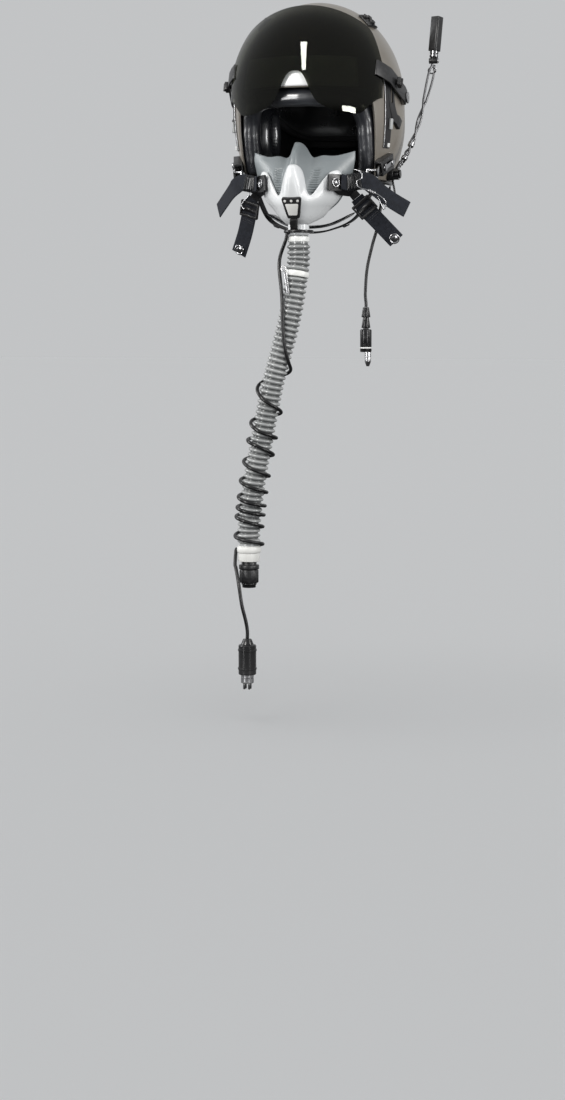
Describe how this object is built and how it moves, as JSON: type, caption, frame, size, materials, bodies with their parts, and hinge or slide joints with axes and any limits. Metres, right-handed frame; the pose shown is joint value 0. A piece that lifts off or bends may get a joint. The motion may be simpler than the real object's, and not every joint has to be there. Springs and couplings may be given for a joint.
{
  "type": "flight helmet",
  "caption": "Jet pilot's helmet with a raised dark visor, a clipped-on oxygen mask with its ribbed hose and wound cord, and a boom microphone swung up.",
  "frame": {"origin": "the middle of the wearer's head, between the ears, where the head holds the helmet", "axes": "the wearer faces -Y, the wearer's left is +X and the crown is toward +Z"},
  "size_m": [0.3037, 0.3081, 0.9593],
  "materials": {
    "shell_paint": "warm grey paint over laminate, semi-gloss",
    "white_panel": "smooth white sheet",
    "liner_foam": "matt rigid foam",
    "black_leather": "glossy black leather, creased",
    "black_rubber": "satin black rubber",
    "black_plastic": "moulded black plastic, satin",
    "black_web": "black woven webbing",
    "grey_web": "dark grey woven webbing",
    "steel": "bright steel, lightly worn",
    "smoke_lens": "dark neutral polycarbonate, polished",
    "mask_hard": "pale grey moulded plastic, satin",
    "mask_soft": "grey silicone rubber, satin",
    "white_plastic": "white moulded plastic",
    "hose_rubber": "glossy grey silicone rubber",
    "plug_black": "black plug moulding with metal contacts"
  },
  "bodies": {
    "helmet": {"shell": "shell_paint", "brow_panel": "white_panel", "impact_liner": "liner_foam", "fit_liner": "black_leather", "edge_roll": "black_leather", "edge_bead": "black_rubber", "earcup_left": "black_plastic", "earcup_right": "black_plastic", "ear_cushion_left": "black_leather", "ear_cushion_right": "black_leather", "earphone_left": "black_plastic", "earphone_right": "black_plastic", "nape_pad": "black_leather", "chin_strap": "black_web", "chin_pad": "black_leather", "chin_snaps": "steel", "crown_clips": "black_plastic", "receiver_left": "black_plastic", "receiver_right": "black_plastic", "track_left": "black_plastic", "track_right": "black_plastic", "pivot_left": "steel", "pivot_right": "steel", "boom_base": "black_plastic", "boom_lead": "black_rubber", "cord_gland": "black_rubber", "head_cord": "black_rubber", "head_plug": "plug_black"},
    "visor": {"visor_lens": "smoke_lens", "visor_arm_left": "black_plastic", "visor_arm_right": "black_plastic"},
    "lock_left": {"visor_lock_left": "black_plastic"},
    "lock_right": {"visor_lock_right": "black_plastic"},
    "mask": {"mask_shell": "mask_hard", "face_form": "mask_soft", "hose_port": "mask_hard", "port_ring": "black_rubber", "mic_plate": "black_plastic", "mic_window": "white_plastic", "mic_stem": "black_plastic", "mic_screws": "white_plastic", "strap_tabs": "black_plastic", "tab_screws": "steel", "mask_straps_left": "grey_web", "mask_straps_right": "grey_web", "strap_snaps": "steel", "bayonet_left": "steel", "bayonet_right": "steel", "hose": "hose_rubber", "hose_clamp": "white_plastic", "hose_cuff": "white_plastic", "hose_connector": "black_plastic", "mic_cord": "black_rubber", "mic_plug": "plug_black"},
    "collar": {"connector_collar": "black_plastic"},
    "latch_left": {"latch_left": "steel"},
    "latch_right": {"latch_right": "steel"},
    "boom": {"boom_arm": "steel"},
    "boom_block": {"boom_mic": "black_plastic"}
  },
  "joints": [
    {"name": "visor_pivot", "type": "hinge", "parent": "helmet", "child": "visor", "pos_m": [0, 0, 0.035], "axis": [1, 0, 0], "range_deg": [0, 26]},
    {"name": "lock_left_turn", "type": "hinge", "parent": "visor", "child": "lock_left", "pos_m": [0.12, -0.04172, 0.05186], "axis": [1, 0, 0], "range_deg": [0, 90]},
    {"name": "lock_right_turn", "type": "hinge", "parent": "visor", "child": "lock_right", "pos_m": [-0.12, -0.04172, 0.05186], "axis": [-1, 0, 0], "range_deg": [0, 90]},
    {"name": "mask_release", "type": "slide", "parent": "helmet", "child": "mask", "axis": [0, -0.9135, -0.4067], "range_m": [0, 0.045]},
    {"name": "collar_turn", "type": "hinge", "parent": "mask", "child": "collar", "pos_m": [-0.069, -0.128, -0.634], "axis": [0, 0, 1], "range_deg": [-60, 60]},
    {"name": "latch_left_press", "type": "slide", "parent": "helmet", "child": "latch_left", "axis": [0.2588, 0.8824, 0.3929], "range_m": [0, 0.004], "stiffness_N_per_m": 300},
    {"name": "latch_right_press", "type": "slide", "parent": "helmet", "child": "latch_right", "axis": [-0.2588, 0.8824, 0.3929], "range_m": [0, 0.004], "stiffness_N_per_m": 300},
    {"name": "boom_swing", "type": "hinge", "parent": "helmet", "child": "boom", "pos_m": [0.112, -0.015, -0.072], "axis": [1, 0, 0], "range_deg": [0, 75]},
    {"name": "boom_elbow", "type": "hinge", "parent": "boom", "child": "boom_block", "pos_m": [0.157, 0.037, 0.0892], "axis": [1, 0, 0], "range_deg": [-20, 30]}
  ]
}
